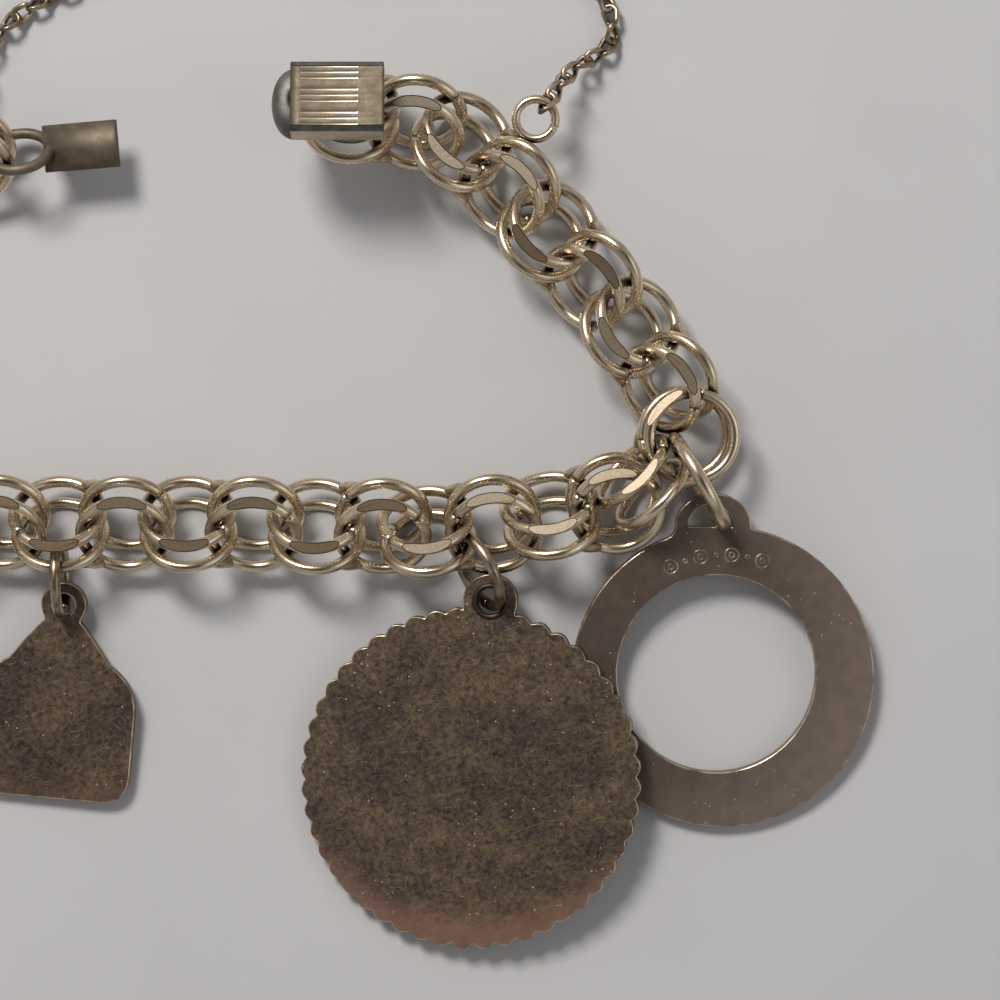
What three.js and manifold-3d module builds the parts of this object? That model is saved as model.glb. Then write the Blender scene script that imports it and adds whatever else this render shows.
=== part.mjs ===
// A gold-filled charm bracelet, unclasped and lying flat: a chain of soldered double-ring units,
// a ribbed box clasp with its tongue, a fine safety chain and three flat charms on jump rings.
// Millimetres, +Z up. The origin is the middle of the bounding box on the surface it lies on.
import * as THREE from 'three';
import { mergeVertices } from 'three/addons/utils/BufferGeometryUtils.js';
import Module from 'manifold-3d';

const wasm = await Module();
wasm.setup();

// Chain link: two parallel rings of round wire
const ringRadius = 3.25;
const wireRadius = 0.44;
const pairSpacing = 2.36;
const ringSlant = THREE.MathUtils.degToRad(42);
const ringSides = 12;
const wireSides = 5;
// Chain unit: two links soldered side to side, filed flat above and below
const unitPitch = 5.0;
const fileDepth = 0.3;
const solderRadius = 0.36;
const solderReach = 0.8;
// Play between two hooked units when the chain lies straight
const hookPlay = 0.3;

// Clasp
const claspLength = 6.8;
const claspWidth = 5.3;
const claspCoverHeight = 1.1;
const claspTrayHeight = 1.5;
const claspNose = 1.5;
const claspBevel = 0.4;
const claspTilt = THREE.MathUtils.degToRad(10);
// Where the clasp starts, from the middle of the last unit, and the cushion of air below it
const claspSeat = { x: -0.1, y: -0.6, air: 0.45 };
const mouthWidth = 3.8;
const mouthHeight = 0.9;
const mouthDepth = 5.0;
const tongueClearance = 0.15;
const tongueLength = 5.6;
const tongueRingRadius = 2.3;
const tongueWire = 0.4;
// How far the middle of the tongue's ring hangs outside the end link's ring
const tongueHang = 0.7;

// Safety chain
const safetyRadius = 0.62;
const safetySides = 6;
const safetySteps = 36;
const safetyRingRadius = 1.48;
const safetyRingWire = 0.33;

// Disc charm
const discRadius = 12.5;
const scallopCount = 48;
const scallopRise = 0.36;
const discThickness = 1.1;
const discLugRadius = 2.05;
const discLugHole = 1.0;
// Middle of the lug's hole, just outside the plate's edge
const discLugReach = discRadius + 0.9;
const discRimWire = 0.24;
const discRingRadius = 2.9;
const discRingWire = 0.41;

// Ring charm
const washerRadius = 11.36;
const washerHole = 7.47;
const washerHoleShift = 0.5;
const washerThickness = 1.0;
const washerLugWidth = 2.85;
const washerLugShift = -0.9;
const washerLugRoot = 1.2;
const washerLugHeight = 2.5;
const washerEye = 1.66;
const washerEyeShift = -1.1;
const washerRingRadius = 3.65;
const washerRingWire = 0.5;

// Tag charm
const tagWidth = 12.0;
const tagHeight = 13.5;
const tagShoulder = 4.4;
const tagThickness = 1.0;
const tagCorner = 2.2;
const tagLugRadius = 1.7;
const tagLugHole = 0.85;
const tagRingRadius = 2.6;
const tagRingWire = 0.4;

// Colours and finishes
const chainGold = { color: 0xb5a384, roughness: 0.3, metalness: 1 };
const claspGold = { color: 0xa99a80, roughness: 0.38, metalness: 1 };
const tarnish = { color: 0x8a7a60, roughness: 0.42, metalness: 1 };
const discPatina = { color: 0x5d5140, roughness: 0.5, metalness: 1 };
const washerPatina = { color: 0x6a5d52, roughness: 0.42, metalness: 1 };

const slantSine = Math.sin(ringSlant);
const slantCosine = Math.cos(ringSlant);
const halfPair = pairSpacing / 2;
// Height of the filed flats above the chain's axis
const flatHeight = ringRadius * slantSine + halfPair * slantCosine + wireRadius - fileDepth;
// Sideways reach of the outer row of rings
const outerRow = ringRadius * slantCosine + halfPair * slantSine;
// Two links hook where their wires meet beside the axis
const hookReach = Math.sqrt(ringRadius ** 2 - (halfPair / Math.tan(ringSlant)) ** 2);
const hookPitch = 2 * hookReach - 2 * wireRadius - hookPlay;

const bracelet = new THREE.Group();
bracelet.name = 'charm_bracelet';

function toSolid(geometry) {
  const bare = geometry.clone();
  bare.deleteAttribute('normal');
  bare.deleteAttribute('uv');
  const merged = mergeVertices(bare, 1e-5);
  return new wasm.Manifold(new wasm.Mesh({
    numProp: 3,
    vertProperties: new Float32Array(merged.attributes.position.array),
    triVerts: new Uint32Array(merged.index.array),
  }));
}

function toGeometry(solid) {
  const mesh = solid.getMesh();
  const geometry = new THREE.BufferGeometry();
  geometry.setAttribute('position', new THREE.BufferAttribute(mesh.vertProperties, 3));
  geometry.setIndex(new THREE.BufferAttribute(mesh.triVerts, 1));
  return geometry;
}

function joinAll(geometries) {
  return geometries.map(toSolid).reduce((whole, part) => whole.add(part));
}

function addPiece(name, geometry, finish, parent = bracelet) {
  const shaded = geometry.index ? geometry.toNonIndexed() : geometry;
  shaded.computeVertexNormals();
  const mesh = new THREE.Mesh(shaded, new THREE.MeshStandardMaterial(finish));
  mesh.name = name;
  parent.add(mesh);
  return mesh;
}

function wireRing(radius, wire, sides = ringSides, around = wireSides) {
  return new THREE.TorusGeometry(radius, wire, around, sides);
}

// A short round bar of solder between two points
function solderBar(from, to, radius) {
  const bar = new THREE.CylinderGeometry(radius, radius, from.distanceTo(to), 4);
  const along = to.clone().sub(from).normalize();
  const turn = new THREE.Quaternion().setFromUnitVectors(new THREE.Vector3(0, 1, 0), along);
  bar.applyQuaternion(turn);
  bar.translate(...from.clone().add(to).multiplyScalar(0.5).toArray());
  return bar;
}

// One link: a pair of rings whose planes lean by the slant, to one side or the other
function linkRings(centreX, lean) {
  return [-halfPair, halfPair].map((offset) => {
    const ring = wireRing(ringRadius, wireRadius);
    ring.translate(0, 0, offset);
    ring.rotateX(lean * ringSlant);
    ring.translate(centreX, 0, 0);
    return ring;
  });
}

// Height of an outer ring's wire at a distance from the middle of its unit
function wirePoint(x) {
  const cosine = (unitPitch / 2 - Math.abs(x)) / ringRadius;
  const sine = Math.sqrt(1 - cosine ** 2);
  const y = halfPair * slantSine + ringRadius * sine * slantCosine;
  const z = ringRadius * sine * slantSine - halfPair * slantCosine;
  return new THREE.Vector3(x, y, Math.sign(x) * z);
}

// Solder webs in the side notches and small beads where the rings hook in the middle
function unitSolder() {
  const web = solderBar(wirePoint(-solderReach), wirePoint(solderReach), solderRadius);
  const hookX = Math.sqrt(ringRadius ** 2 - (halfPair * Math.tan(ringSlant)) ** 2);
  const hookZ = halfPair / slantCosine;
  const beadReach = hookX - unitPitch / 2;
  const from = new THREE.Vector3(-beadReach, 0, -hookZ);
  const to = new THREE.Vector3(beadReach, 0, -hookZ);
  const bead = solderBar(from, to, solderRadius * 0.6);
  return [web, web.clone().rotateX(Math.PI), bead];
}

function unitSolid(extras = []) {
  const rings = [...linkRings(-unitPitch / 2, -1), ...linkRings(unitPitch / 2, 1)];
  const whole = joinAll([...rings, ...unitSolder(), ...extras]);
  const slab = new THREE.BoxGeometry(40, 40, 2 * flatHeight);
  return whole.intersect(toSolid(slab));
}

// The small ring for the safety chain, soldered flat against the outer wire of its unit
const safetyRingPlace = new THREE.Vector3(-0.45, -outerRow - wireRadius - safetyRingRadius + 0.1, 0.7);

function safetyRingParts() {
  const ring = wireRing(safetyRingRadius, safetyRingWire, 12, 5);
  ring.translate(...safetyRingPlace.toArray());
  const from = safetyRingPlace.clone().add(new THREE.Vector3(0, safetyRingRadius, 0));
  const to = new THREE.Vector3(-0.3, -outerRow + 0.35, 0.3);
  return [ring, solderBar(from, to, 0.3)];
}

// The route of the chain, a row for each unit from the tongue to the clasp: heading, roll and
// pitch in degrees, how far the unit is pushed into the one before it, and its shift sideways
const route = [
  { heading: 185, roll: 0, pitch: 0, slack: 0, side: 0 },
  { heading: 202, roll: 0, pitch: 0, slack: 0.88, side: 0 },
  { heading: 238, roll: 0, pitch: 0, slack: 1.8, side: 0 },
  { heading: 275, roll: 0, pitch: 0, slack: 1.85, side: 0 },
  { heading: 312, roll: 0, pitch: 0, slack: 1.85, side: 0 },
  { heading: 345, roll: 0, pitch: 0, slack: 1.65, side: 0 },
  { heading: 357, roll: 0, pitch: 0, slack: 0.65, side: 0 },
  { heading: 360, roll: 0, pitch: 0, slack: 0.3, side: 0 },
  { heading: 360, roll: 0, pitch: 0, slack: 0.14, side: 0 },
  { heading: 360, roll: 0, pitch: 0, slack: 0.14, side: -0.15 },
  { heading: 366, roll: -6.4, pitch: -0.5, slack: 1.53, side: -0.54 },
  { heading: 370.5, roll: -11, pitch: 0.5, slack: 0.48, side: 0.03 },
  { heading: 405, roll: -31.1, pitch: 1.9, slack: 2.34, side: 0.49 },
  { heading: 484.5, roll: -6.1, pitch: -0.6, slack: 0.97, side: 1.87 },
  { heading: 492, roll: -8.5, pitch: 1.5, slack: 0.28, side: 0.1 },
  { heading: 496.2, roll: -4.2, pitch: 2, slack: 0.46, side: -0.22 },
  { heading: 533.4, roll: -7, pitch: 1.1, slack: 1.18, side: 0.15 },
];
// The unit that the route is laid out from, and the unit that carries the safety chain's ring
const anchorUnit = 9;
const anchorPlace = { x: -20.88, y: -1.8 };
const safetyUnit = 16;

// How each charm hangs. Ring: its unit, its middle from the unit's middle, how far it stands off
// the surface, its heading and lean in degrees. Plate: the middle of its eye from the ring's
// middle, along the heading and aside, the eye's height, the turn in degrees, and the slopes
const discHang = {
  unit: 11, x: 1.34, y: -3.23, rise: 0.13, heading: -62.5, lean: 21.6,
  reach: 2.46, aside: -0.2, eyeHeight: 2.69, turn: -6.6, across: 0.104, along: 0.042,
};
const washerHang = {
  unit: 13, x: 2.47, y: -1.69, rise: 0.01, heading: -60.2, lean: 0.3,
  reach: 3.1, aside: 0.14, eyeHeight: 2.4, turn: -0.5, across: -0.011, along: 0.081,
};
const tagHang = {
  unit: 8, x: -2.44, y: -4.12, rise: -0, heading: -88, lean: -1.8,
  reach: 1.94, aside: 0.07, eyeHeight: 1.55, turn: -5.2, across: 0.024, along: 0.065,
};

function direction(degrees) {
  const angle = THREE.MathUtils.degToRad(degrees);
  return new THREE.Vector2(Math.cos(angle), Math.sin(angle));
}

// The step from the middle of one unit to the middle of the next
function stepBetween(before, after) {
  const middle = direction((before.heading + after.heading) / 2);
  const across = new THREE.Vector2(-middle.y, middle.x);
  return direction(before.heading).multiplyScalar(unitPitch / 2)
    .add(middle.multiplyScalar(hookPitch - after.slack))
    .add(across.multiplyScalar(after.side))
    .add(direction(after.heading).multiplyScalar(unitPitch / 2));
}

function walkRoute() {
  const places = [];
  places[anchorUnit - 1] = new THREE.Vector2(anchorPlace.x, anchorPlace.y);
  for (let i = anchorUnit; i < route.length; i += 1) {
    places[i] = places[i - 1].clone().add(stepBetween(route[i - 1], route[i]));
  }
  for (let i = anchorUnit - 2; i >= 0; i -= 1) {
    places[i] = places[i + 1].clone().sub(stepBetween(route[i], route[i + 1]));
  }
  return places;
}

// A unit's frame: rolled about its length, turned to its heading and lowered onto the surface
function unitFrame(row, place, geometry) {
  const angles = [row.roll, row.pitch, row.heading].map(THREE.MathUtils.degToRad);
  const turn = new THREE.Quaternion().setFromEuler(new THREE.Euler(...angles, 'ZYX'));
  const turned = geometry.clone().applyQuaternion(turn);
  turned.computeBoundingBox();
  const frame = new THREE.Object3D();
  frame.position.set(place.x, place.y, -turned.boundingBox.min.z);
  frame.quaternion.copy(turn);
  frame.updateMatrix();
  return frame;
}

const plainUnit = toGeometry(unitSolid());
const safetyUnitShape = toGeometry(unitSolid(safetyRingParts()));
const places = walkRoute();
const frames = route.map((row, i) => unitFrame(row, places[i], plainUnit));

frames.forEach((frame, i) => {
  const shape = i + 1 === safetyUnit ? safetyUnitShape : plainUnit;
  const name = `chain_unit_${String(i + 1).padStart(2, '0')}`;
  const unit = addPiece(name, shape.clone(), chainGold);
  unit.position.copy(frame.position);
  unit.quaternion.copy(frame.quaternion);
});

function inFrame(frame, x, y, z) {
  return new THREE.Vector3(x, y, z).applyMatrix4(frame.matrix);
}

// Clasp: a tray with a rounded nose and a bevelled cover, with a mouth for the tongue
function claspOutline() {
  const half = claspWidth / 2;
  const outline = new THREE.Shape();
  outline.moveTo(0, -half);
  outline.lineTo(claspLength, -half);
  outline.absellipse(claspLength, 0, claspNose, half, -Math.PI / 2, Math.PI / 2, false);
  outline.lineTo(0, half);
  outline.closePath();
  return outline;
}

function claspGeometry() {
  const tray = new THREE.ExtrudeGeometry(claspOutline(), {
    depth: claspTrayHeight, bevelEnabled: false, curveSegments: 6,
  });
  const half = claspWidth / 2;
  const cover = new THREE.Shape();
  cover.moveTo(-half, 0);
  cover.lineTo(half, 0);
  cover.lineTo(half, claspCoverHeight - claspBevel);
  cover.lineTo(half - claspBevel, claspCoverHeight);
  cover.lineTo(claspBevel - half, claspCoverHeight);
  cover.lineTo(-half, claspCoverHeight - claspBevel);
  cover.closePath();
  const coverBar = new THREE.ExtrudeGeometry(cover, { depth: claspLength, bevelEnabled: false });
  coverBar.rotateX(Math.PI / 2);
  coverBar.rotateZ(Math.PI / 2);
  coverBar.translate(0, 0, claspTrayHeight - 0.05);
  const mouthReach = claspLength + claspNose;
  const mouth = new THREE.BoxGeometry(2 * mouthDepth, mouthWidth, mouthHeight);
  mouth.translate(mouthReach, 0, claspTrayHeight / 2);
  return toGeometry(joinAll([tray, coverBar]).subtract(toSolid(mouth)));
}

const lastFrame = frames[frames.length - 1];
const clasp = addPiece('clasp_box', claspGeometry(), claspGold);
const claspDrop = Math.sin(claspTilt) * claspWidth / 2;
clasp.rotation.set(claspTilt, 0, Math.PI, 'ZYX');
const claspStart = inFrame(lastFrame, claspSeat.x, claspSeat.y, 0);
clasp.position.set(claspStart.x, claspStart.y, 2 * flatHeight + claspDrop + claspSeat.air);

// Tongue on the first unit: a ring through both rings of the end link, and a flat tongue
function tongueGeometry() {
  const ring = wireRing(tongueRingRadius, tongueWire);
  ring.rotateX(Math.PI / 2 - ringSlant);
  const ringX = -unitPitch / 2 - ringRadius - tongueHang;
  ring.translate(ringX, 0, 0);
  const width = mouthWidth - 2 * tongueClearance;
  const height = mouthHeight - 2 * tongueClearance;
  const blade = new THREE.BoxGeometry(tongueLength, width, height);
  blade.translate(ringX - tongueRingRadius - tongueLength / 2 + tongueWire, 0, 0);
  return toGeometry(joinAll([ring, blade]));
}

const tongue = addPiece('clasp_tongue', tongueGeometry(), claspGold);
tongue.position.copy(frames[0].position);
tongue.quaternion.copy(frames[0].quaternion);

// Disc charm: scalloped plate and its lug, fused, with a raised rim round the lug's hole
function discGeometry() {
  const outline = new THREE.Shape();
  const perScallop = 3;
  const count = scallopCount * perScallop;
  for (let i = 0; i < count; i += 1) {
    const angle = (i / count) * 2 * Math.PI;
    const share = Math.abs(Math.sin((scallopCount / 2) * angle));
    const radius = discRadius + scallopRise * share;
    const point = [radius * Math.cos(angle), radius * Math.sin(angle)];
    if (i === 0) outline.moveTo(...point);
    else outline.lineTo(...point);
  }
  outline.closePath();
  const options = { depth: discThickness, bevelEnabled: false };
  const plate = new THREE.ExtrudeGeometry(outline, options);
  const lug = new THREE.CylinderGeometry(discLugRadius, discLugRadius, discThickness, 20);
  lug.rotateX(Math.PI / 2);
  lug.translate(0, discLugReach, discThickness / 2);
  const rim = wireRing(discLugHole + discRimWire, discRimWire, 12, 5);
  rim.translate(0, discLugReach, discThickness);
  const hole = new THREE.CylinderGeometry(discLugHole, discLugHole, 3 * discThickness, 12);
  hole.rotateX(Math.PI / 2);
  hole.translate(0, discLugReach, discThickness / 2);
  return toGeometry(joinAll([plate, lug, rim]).subtract(toSolid(hole)));
}

// A jump ring stands nearly upright: its plane holds its heading and leans a little
function hangRing(name, radius, wire, hang, finish) {
  const unit = frames[hang.unit - 1];
  const ring = addPiece(name, wireRing(radius, wire), finish);
  const upright = Math.PI / 2 - THREE.MathUtils.degToRad(hang.lean);
  ring.rotation.set(upright, 0, THREE.MathUtils.degToRad(hang.heading), 'ZYX');
  ring.position.set(unit.position.x + hang.x, unit.position.y + hang.y, radius + wire + hang.rise);
  return ring;
}

// A charm's plate lies tilted, hung by its eye
function layPlate(plate, ring, hang, eye, thickness) {
  const ahead = direction(hang.heading);
  const normal = new THREE.Vector3(-hang.across, -hang.along, 1).normalize();
  const tilt = new THREE.Quaternion().setFromUnitVectors(new THREE.Vector3(0, 0, 1), normal);
  const turn = THREE.MathUtils.degToRad(hang.turn);
  const spin = new THREE.Quaternion().setFromAxisAngle(new THREE.Vector3(0, 0, 1), turn);
  plate.quaternion.copy(tilt.multiply(spin));
  const toEye = new THREE.Vector3(eye.x, eye.y, thickness / 2).applyQuaternion(plate.quaternion);
  const eyeX = ring.position.x + ahead.x * hang.reach - ahead.y * hang.aside;
  const eyeY = ring.position.y + ahead.y * hang.reach + ahead.x * hang.aside;
  plate.position.set(eyeX, eyeY, hang.eyeHeight).sub(toEye);
}

const disc = addPiece('disc_charm', discGeometry(), discPatina);
const discRing = hangRing('disc_jump_ring', discRingRadius, discRingWire, discHang, tarnish);
const discEye = { x: 0, y: discLugReach };
layPlate(disc, discRing, discHang, discEye, discThickness);

// Ring charm: a flat ring with a lug and a D-shaped eye
function washerGeometry() {
  const outline = new THREE.Shape();
  outline.absarc(0, 0, washerRadius, 0, 2 * Math.PI, false);
  const hole = new THREE.Path();
  hole.absarc(-washerHoleShift, washerHoleShift / 2, washerHole, 0, 2 * Math.PI, true);
  outline.holes.push(hole);
  const options = { depth: washerThickness, bevelEnabled: false, curveSegments: 24 };
  const plate = new THREE.ExtrudeGeometry(outline, options);
  const lugOutline = new THREE.Shape();
  lugOutline.absellipse(washerLugShift, washerRadius, washerLugWidth, washerLugHeight, 0, Math.PI, false);
  lugOutline.lineTo(washerLugShift - washerLugWidth, washerRadius - washerLugRoot);
  lugOutline.lineTo(washerLugShift + washerLugWidth, washerRadius - washerLugRoot);
  lugOutline.closePath();
  const lug = new THREE.ExtrudeGeometry(lugOutline, { ...options, curveSegments: 8 });
  const eyeOutline = new THREE.Shape();
  eyeOutline.absarc(washerEyeShift, washerRadius, washerEye, 0, Math.PI, false);
  eyeOutline.closePath();
  const eye = new THREE.ExtrudeGeometry(eyeOutline, {
    depth: 3 * washerThickness, bevelEnabled: false, curveSegments: 8,
  });
  eye.translate(0, 0, -washerThickness);
  return toGeometry(joinAll([plate, lug]).subtract(toSolid(eye)));
}

const washer = addPiece('ring_charm', washerGeometry(), washerPatina);
const washerRing = hangRing('ring_jump_ring', washerRingRadius, washerRingWire, washerHang, chainGold);
const washerEyeMiddle = { x: -0.4, y: washerRadius + washerEye * 0.45 };
layPlate(washer, washerRing, washerHang, washerEyeMiddle, washerThickness);

// Tag charm: a rounded tag with sloping shoulders and a lug
function tagGeometry() {
  const half = tagWidth / 2;
  const corner = half - tagCorner;
  const outline = new THREE.Shape();
  outline.moveTo(-corner, -tagHeight);
  outline.lineTo(corner, -tagHeight);
  outline.quadraticCurveTo(half, -tagHeight, half, -tagHeight + tagCorner);
  outline.lineTo(half, -tagShoulder - tagCorner);
  outline.quadraticCurveTo(half, -tagShoulder, corner, -tagShoulder * 0.7);
  outline.quadraticCurveTo(tagLugRadius * 1.5, -tagShoulder * 0.3, tagLugRadius * 0.8, 0);
  outline.lineTo(-tagLugRadius * 0.8, 0);
  outline.quadraticCurveTo(-tagLugRadius * 1.5, -tagShoulder * 0.3, -corner, -tagShoulder * 0.7);
  outline.quadraticCurveTo(-half, -tagShoulder, -half, -tagShoulder - tagCorner);
  outline.lineTo(-half, -tagHeight + tagCorner);
  outline.quadraticCurveTo(-half, -tagHeight, -corner, -tagHeight);
  const options = { depth: tagThickness, bevelEnabled: false, curveSegments: 4 };
  const plate = new THREE.ExtrudeGeometry(outline, options);
  const lug = new THREE.CylinderGeometry(tagLugRadius, tagLugRadius, tagThickness, 16);
  lug.rotateX(Math.PI / 2);
  lug.translate(0, tagLugRadius * 0.7, tagThickness / 2);
  const hole = new THREE.CylinderGeometry(tagLugHole, tagLugHole, 3 * tagThickness, 12);
  hole.rotateX(Math.PI / 2);
  hole.translate(0, tagLugRadius * 0.7, tagThickness / 2);
  return toGeometry(joinAll([plate, lug]).subtract(toSolid(hole)));
}

const tag = addPiece('tag_charm', tagGeometry(), discPatina);
const tagRing = hangRing('tag_jump_ring', tagRingRadius, tagRingWire, tagHang, tarnish);
const tagEye = { x: 0, y: tagLugRadius * 0.7 };
layPlate(tag, tagRing, tagHang, tagEye, tagThickness);

// Safety chain: chosen points between its two ends, as a tube
const safetyRoute = [
  { x: 3.84, y: 30.03, z: 4.2 },
  { x: 5.5, y: 32.3, z: 2.2 },
  { x: 7.9, y: 34.0, z: 0.75 },
  { x: 8.5, y: 35.6, z: 0.68 },
  { x: 7.6, y: 38.2, z: 0.68 },
  { x: 4.0, y: 41.0, z: 0.68 },
  { x: -4.0, y: 42.8, z: 0.68 },
  { x: -14.0, y: 43.0, z: 0.68 },
  { x: -24.0, y: 41.8, z: 0.68 },
  { x: -32.0, y: 39.0, z: 0.68 },
  { x: -36.6, y: 36.4, z: 0.8 },
  { x: -39.0, y: 33.5, z: 1.5 },
  { x: -39.95, y: 29.7, z: 4.3 },
];

function safetyGeometry() {
  const points = safetyRoute.map((p) => new THREE.Vector3(p.x, p.y, p.z));
  const curve = new THREE.CatmullRomCurve3(points, false, 'centripetal');
  const section = new THREE.Shape();
  for (let i = 0; i < safetySides; i += 1) {
    const angle = (i / safetySides) * 2 * Math.PI;
    const point = [safetyRadius * Math.cos(angle), safetyRadius * Math.sin(angle)];
    if (i === 0) section.moveTo(...point);
    else section.lineTo(...point);
  }
  section.closePath();
  return new THREE.ExtrudeGeometry(section, {
    steps: safetySteps, extrudePath: curve, bevelEnabled: false,
  });
}

addPiece('safety_chain', safetyGeometry(), tarnish);

// Move the whole bracelet so that the origin is the middle of its box on the surface
bracelet.updateMatrixWorld(true);
const box = new THREE.Box3().setFromObject(bracelet, true);
const boxMiddle = box.getCenter(new THREE.Vector3());
const originShift = new THREE.Vector3(boxMiddle.x, boxMiddle.y, box.min.z);
bracelet.children.forEach((piece) => piece.position.sub(originShift));

export default bracelet;
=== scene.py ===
# %% [markdown]
# A charm bracelet in pale gold, unclasped and laid on a pale table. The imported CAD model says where
# every piece lies, so each piece here is built round its own middle in millimetres, and is then
# set down in the place that the CAD piece shows. Finishes come from nodes alone.

# %% Tools and the fixed frame
import math
import random

import bmesh
import bpy
import numpy as np
from mathutils import Matrix, Quaternion, Vector, noise


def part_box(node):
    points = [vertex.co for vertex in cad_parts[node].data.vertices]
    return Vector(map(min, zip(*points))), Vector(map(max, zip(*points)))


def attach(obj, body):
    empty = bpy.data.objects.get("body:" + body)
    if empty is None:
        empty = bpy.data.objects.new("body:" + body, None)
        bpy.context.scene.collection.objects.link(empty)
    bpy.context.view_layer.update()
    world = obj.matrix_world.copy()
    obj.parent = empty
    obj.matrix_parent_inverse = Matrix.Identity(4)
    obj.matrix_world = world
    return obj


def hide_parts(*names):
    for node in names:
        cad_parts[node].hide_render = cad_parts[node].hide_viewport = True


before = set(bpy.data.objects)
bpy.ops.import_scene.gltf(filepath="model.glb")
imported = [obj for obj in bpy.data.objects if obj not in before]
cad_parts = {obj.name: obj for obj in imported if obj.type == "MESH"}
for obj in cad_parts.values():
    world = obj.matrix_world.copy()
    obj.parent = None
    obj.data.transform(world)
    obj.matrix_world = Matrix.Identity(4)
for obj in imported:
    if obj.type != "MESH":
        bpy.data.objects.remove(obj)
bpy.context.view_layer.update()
MM = 0.001

# %% [markdown]
# Reading places from the frame. A piece of the frame keeps its place in its vertices. Its widest
# flat face tells which way it looks: the filed flats of a chain unit, the face of a charm.
# Guessing angles by eye would drift from the CAD, so they are measured from the triangles.

# %% Faces of a CAD piece
NO_AREA = 1e-14
LOOKS_UP = 0.3
SAME_WAY = 0.99995


def corner_points(node):
    return np.array([vert.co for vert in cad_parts[node].data.vertices])


def triangle_facts(node):
    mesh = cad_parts[node].data
    mesh.calc_loop_triangles()
    corners = corner_points(node)[np.array([t.vertices[:] for t in mesh.loop_triangles])]
    cross = np.cross(corners[:, 1] - corners[:, 0], corners[:, 2] - corners[:, 0])
    length = np.linalg.norm(cross, axis=1)
    kept = length > NO_AREA
    normals = cross[kept] / length[kept][:, None]
    return corners[kept].mean(axis=1), normals, length[kept] / 2


def widest_flat(normals, areas):
    upward = normals[normals[:, 2] > LOOKS_UP]
    shared = (upward @ normals.T) > SAME_WAY
    best = upward[np.argmax(shared @ areas)]
    same = (normals @ best) > SAME_WAY
    mean = (normals[same] * areas[same][:, None]).sum(axis=0)
    return mean / np.linalg.norm(mean)


def place_from(x_axis, y_axis, z_axis, origin):
    place = Matrix.Identity(4)
    for column, axis in enumerate((x_axis, y_axis, z_axis, origin)):
        for row in range(3):
            place[row][column] = axis[row]
    return place


# %% [markdown]
# A chain unit has four filed flats, two above and two below, set evenly about its middle. Their
# mean is the middle of the unit, and the line through them is its length.

# %% Places of the chain units
def unit_place(node):
    centres, normals, areas = triangle_facts(node)
    up = widest_flat(normals, areas)
    flats = np.abs(normals @ up) > SAME_WAY
    weights = areas[flats][:, None]
    middle = (centres[flats] * weights).sum(axis=0) / weights.sum()
    spread = centres[flats] - middle
    spread -= (spread @ up)[:, None] * up
    along = np.linalg.eigh((spread * weights).T @ spread)[1][:, -1]
    return place_from(along, np.cross(up, along), up, middle)


unit_names = sorted(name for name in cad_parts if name.startswith("chain_unit_"))
unit_places = {name: unit_place(name) for name in unit_names}
print("chain units:", len(unit_names))


# %% [markdown]
# A flat charm looks along its widest face, and its turn in that plane is a known angle. The box
# round its corners, taken in its own directions, then gives its middle. A round charm's middle is
# half its width above its lowest point. A ring looks along the way in which it is thinnest.

# %% Places of flat pieces and of rings
def plate_place(node, turn_degrees):
    normals, areas = triangle_facts(node)[1:]
    up = Vector(widest_flat(normals, areas))
    tilt = Vector((0, 0, 1)).rotation_difference(up)
    turn = Quaternion((0, 0, 1), math.radians(turn_degrees))
    axes = (tilt @ turn).to_matrix()
    local = corner_points(node) @ np.array(axes)
    return axes, local.min(axis=0) / MM, local.max(axis=0) / MM


def plate_matrix(axes, x, y, z):
    return axes.to_4x4() @ Matrix.Translation(Vector((x, y, z)) * MM)


def charm_place(node, turn_degrees, rise=None):
    axes, low, high = plate_place(node, turn_degrees)
    half = (high[0] - low[0]) / 2
    return plate_matrix(axes, low[0] + half, low[1] + (rise or half), low[2])


def ring_place(node):
    centres, _, areas = triangle_facts(node)
    middle = (centres * areas[:, None]).sum(axis=0) / areas.sum()
    spread = (centres - middle) * np.sqrt(areas)[:, None]
    vectors = np.linalg.eigh(spread.T @ spread)[1]
    facing = vectors[:, 0] * np.sign(vectors[1, 0] or 1)
    upward = np.array((0, 0, 1)) - facing[2] * facing
    upward /= np.linalg.norm(upward)
    return place_from(np.cross(upward, facing), upward, facing, middle)


# %% [markdown]
# Colour in metal. Nodes read the Object coordinates, which are metres here, so a noise scale of
# 1000 makes patches of about a millimetre. A few short helpers keep each finish readable. In a
# ramp, a stop with one number is a grey.

# %% Helpers for finishes
DENT_DEPTH = 0.02 * MM


def new_finish(name):
    material = bpy.data.materials.new(name)
    material.use_nodes = True
    tree = material.node_tree
    return material, tree, tree.nodes["Principled BSDF"]


def coordinates(tree, scale=(1, 1, 1), turn=0.0, shift=0.0):
    source = tree.nodes.new("ShaderNodeTexCoord")
    turned = tree.nodes.new("ShaderNodeMapping")
    turned.inputs["Rotation"].default_value = (0, 0, math.radians(-turn))
    stretched = tree.nodes.new("ShaderNodeMapping")
    stretched.inputs["Scale"].default_value = scale
    stretched.inputs["Location"].default_value = (shift, shift, shift)
    tree.links.new(source.outputs["Object"], turned.inputs["Vector"])
    tree.links.new(turned.outputs["Vector"], stretched.inputs["Vector"])
    return stretched.outputs["Vector"]


def cloud(tree, vector, scale, detail=3.0, roughness=0.55):
    node = tree.nodes.new("ShaderNodeTexNoise")
    node.inputs["Scale"].default_value = scale
    node.inputs["Detail"].default_value = detail
    node.inputs["Roughness"].default_value = roughness
    tree.links.new(vector, node.inputs["Vector"])
    return node.outputs["Fac"]


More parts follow.
